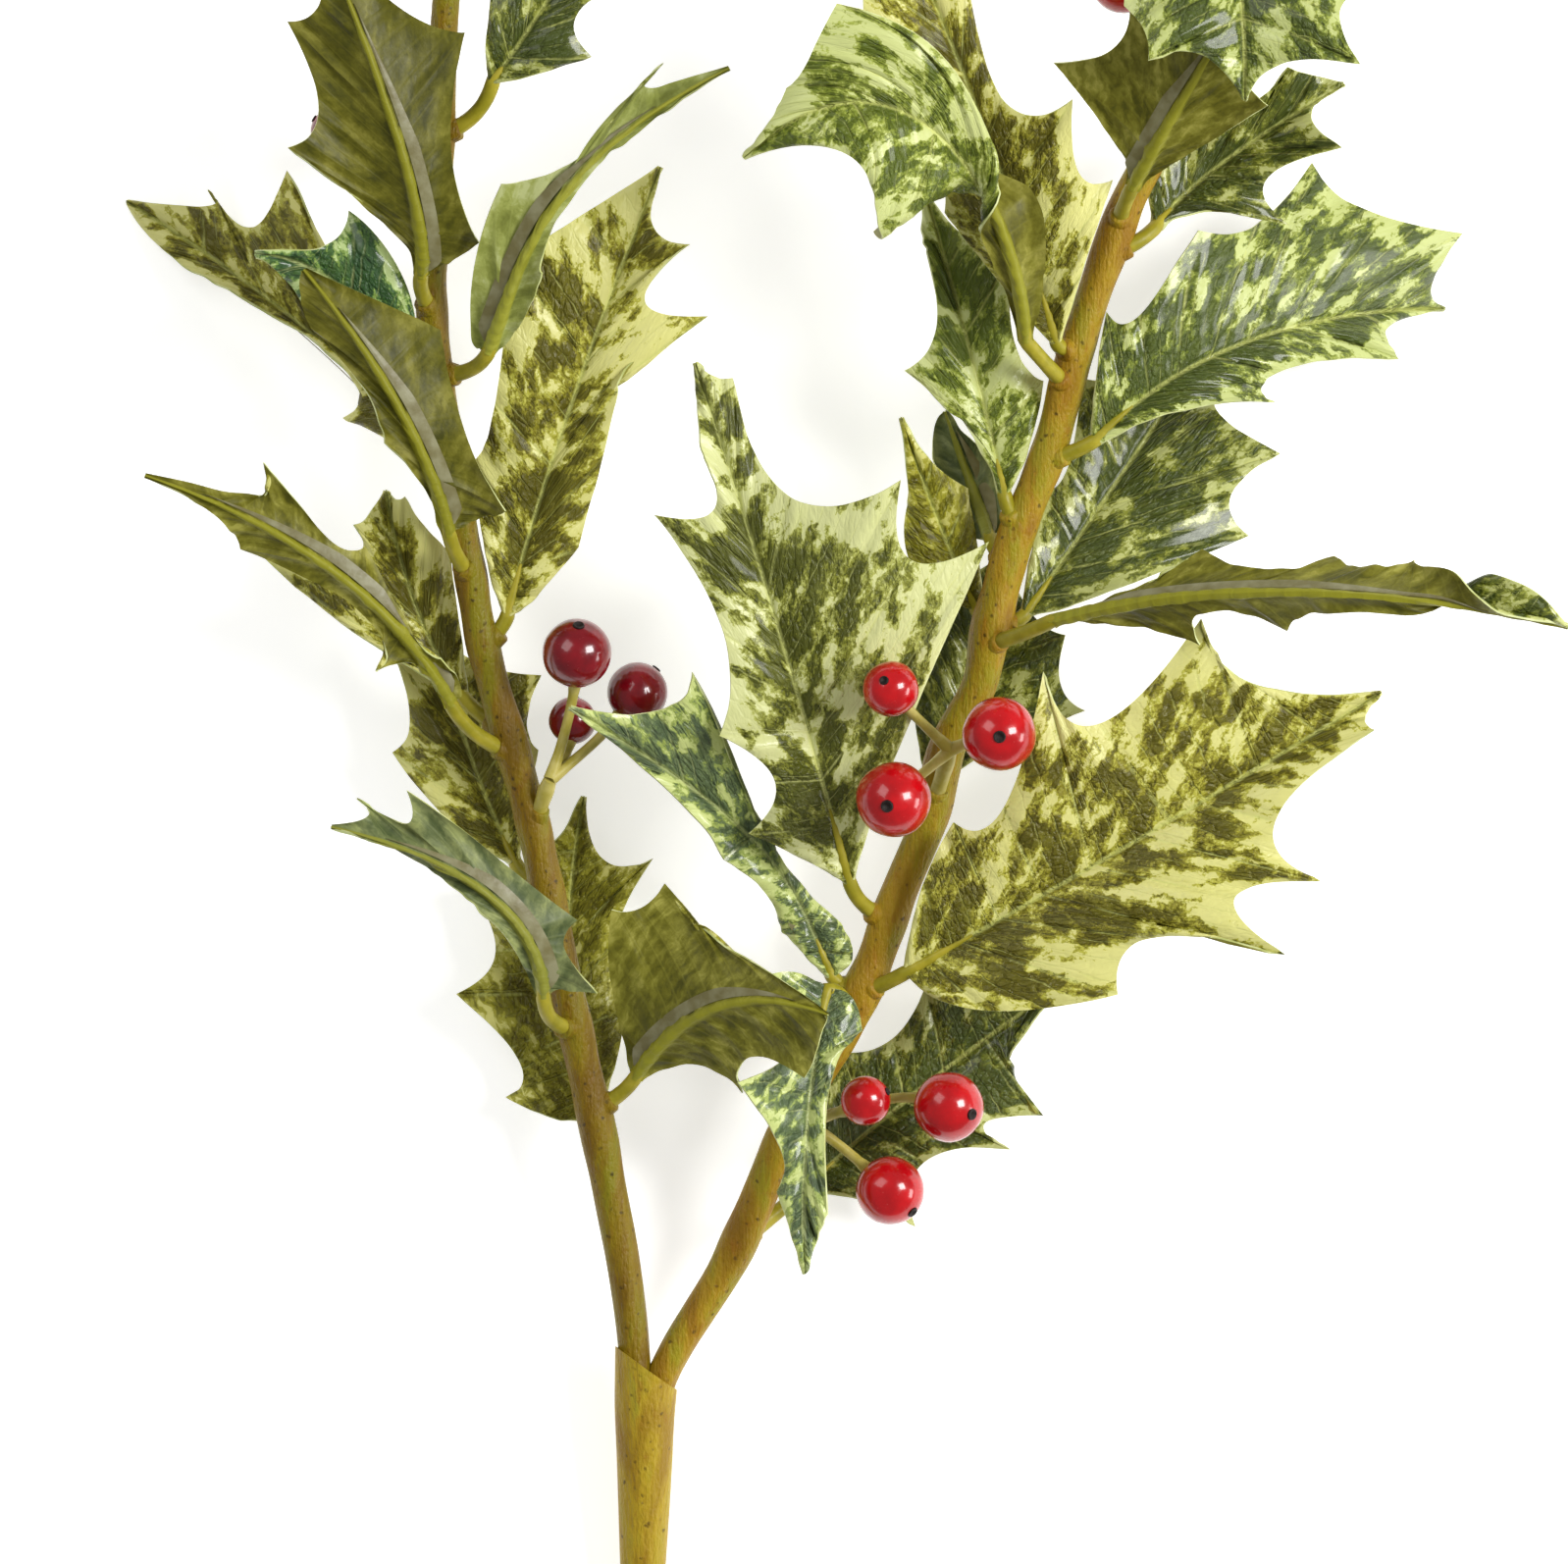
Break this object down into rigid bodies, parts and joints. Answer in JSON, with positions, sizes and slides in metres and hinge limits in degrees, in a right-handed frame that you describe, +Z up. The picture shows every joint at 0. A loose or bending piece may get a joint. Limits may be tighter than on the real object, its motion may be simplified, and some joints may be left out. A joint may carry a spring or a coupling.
{
  "type": "holly sprig",
  "caption": "Cut forked holly spray lying flat, with spiny variegated leaves along two branches and small clusters of round red berries.",
  "frame": {"origin": "middle of the bounding box's base, on the surface that the sprig lies on", "axes": "+Y along the sprig from its cut end to its leaf tips, +Z up from the surface, +X towards the fork's right-hand branch"},
  "size_m": [0.1994, 0.3036, 0.0662],
  "materials": {
    "leaf": "glossy upper face mottled dark green, mid green and cream yellow; satin olive underside with a yellow-green midrib",
    "stem": "satin olive brown with orange-brown mottling and dark specks",
    "berry_stalk": "satin yellow green",
    "berry": "glossy red with a small black calyx"
  },
  "bodies": {
    "root": {"main_stem": "stem", "left_branch": "stem", "right_branch": "stem", "left_leaf_01": "leaf", "left_leaf_02": "leaf", "left_leaf_03": "leaf", "left_leaf_04": "leaf", "left_leaf_05": "leaf", "left_leaf_06": "leaf", "left_leaf_07": "leaf", "left_leaf_08": "leaf", "left_leaf_09": "leaf", "left_leaf_10": "leaf", "left_leaf_11": "leaf", "left_leaf_12": "leaf", "left_leaf_13": "leaf", "left_leaf_14": "leaf", "left_leaf_15": "leaf", "right_leaf_01": "leaf", "right_leaf_02": "leaf", "right_leaf_03": "leaf", "right_leaf_04": "leaf", "right_leaf_05": "leaf", "right_leaf_06": "leaf", "right_leaf_07": "leaf", "right_leaf_08": "leaf", "right_leaf_09": "leaf", "right_leaf_10": "leaf", "right_leaf_11": "leaf", "right_leaf_12": "leaf", "right_leaf_13": "leaf", "right_leaf_14": "leaf", "right_leaf_15": "leaf", "right_leaf_16": "leaf", "right_leaf_17": "leaf", "right_leaf_18": "leaf", "right_leaf_19": "leaf", "berry_cluster_1_stalk": "berry_stalk", "berry_cluster_1_berry_1": "berry", "berry_cluster_1_berry_2": "berry", "berry_cluster_1_berry_3": "berry", "berry_cluster_2_stalk": "berry_stalk", "berry_cluster_2_berry_1": "berry", "berry_cluster_2_berry_2": "berry", "berry_cluster_2_berry_3": "berry", "berry_cluster_3_stalk": "berry_stalk", "berry_cluster_3_berry_1": "berry", "berry_cluster_3_berry_2": "berry", "berry_cluster_3_berry_3": "berry", "berry_cluster_4_stalk": "berry_stalk", "berry_cluster_4_berry_1": "berry", "berry_cluster_4_berry_2": "berry", "berry_cluster_4_berry_3": "berry", "berry_cluster_5_stalk": "berry_stalk", "berry_cluster_5_berry_1": "berry", "berry_cluster_5_berry_2": "berry", "berry_cluster_5_berry_3": "berry"}
  },
  "joints": []
}
